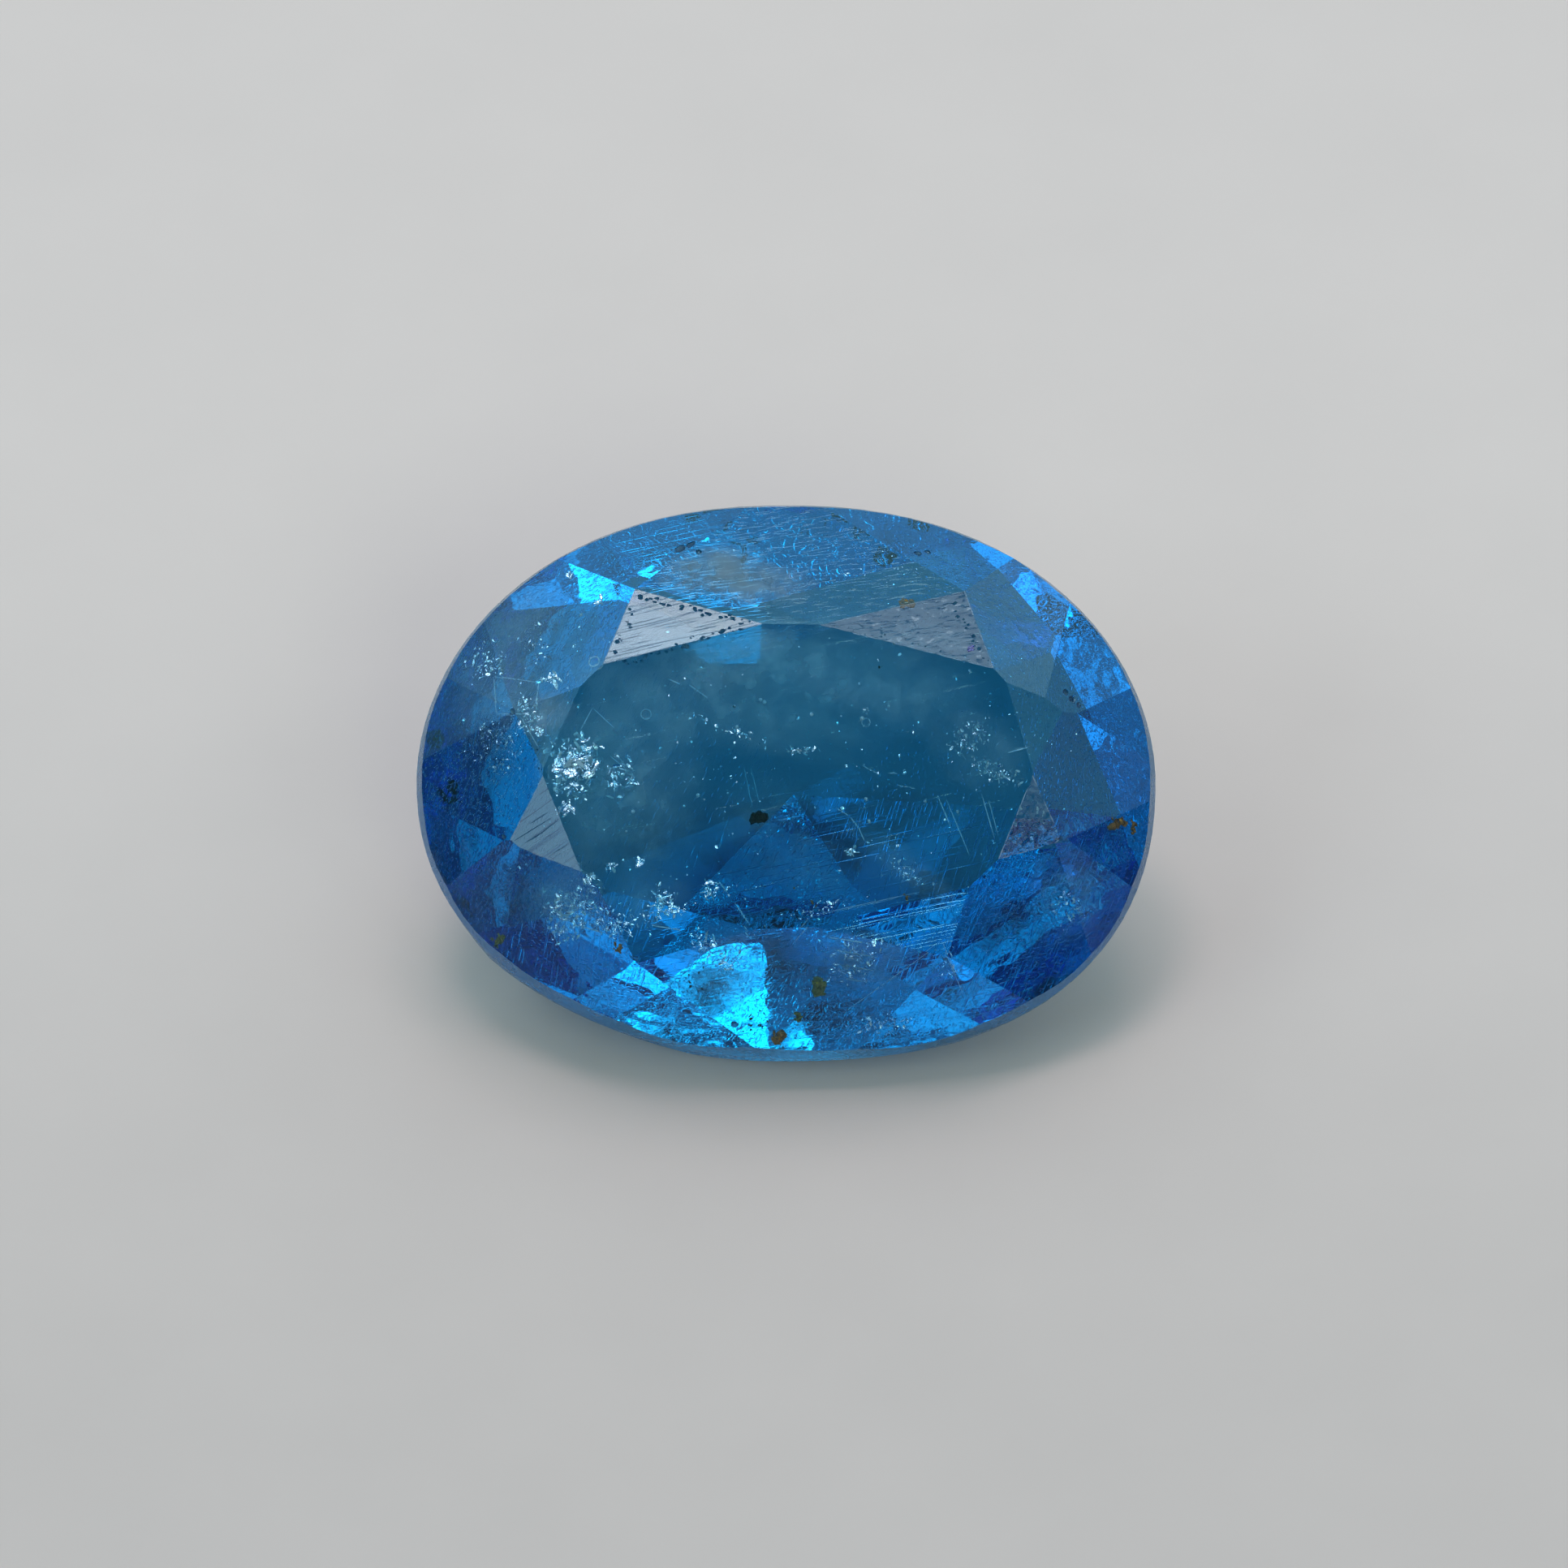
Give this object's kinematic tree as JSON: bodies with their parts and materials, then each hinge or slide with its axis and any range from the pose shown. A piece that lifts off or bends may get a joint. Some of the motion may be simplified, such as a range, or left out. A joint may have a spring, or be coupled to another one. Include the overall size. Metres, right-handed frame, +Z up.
{
  "type": "faceted oval iolite gemstone",
  "caption": "Faceted oval iolite: a transparent blue cut stone with a flat table, a ground girdle and a pointed underside, lying on one flat of its underside.",
  "frame": {"origin": "bottom centre of the bounding box, on the surface that the stone lies on", "axes": "+X along the oval's long axis, +Z up; the table faces up and leans towards -Y"},
  "size_m": [0.008, 0.0052, 0.0038],
  "materials": {
    "iolite": "polished flats, see-through saturated blue with inclusions, finely ground girdle"
  },
  "bodies": {
    "root": {"iolite": "iolite"}
  },
  "joints": []
}
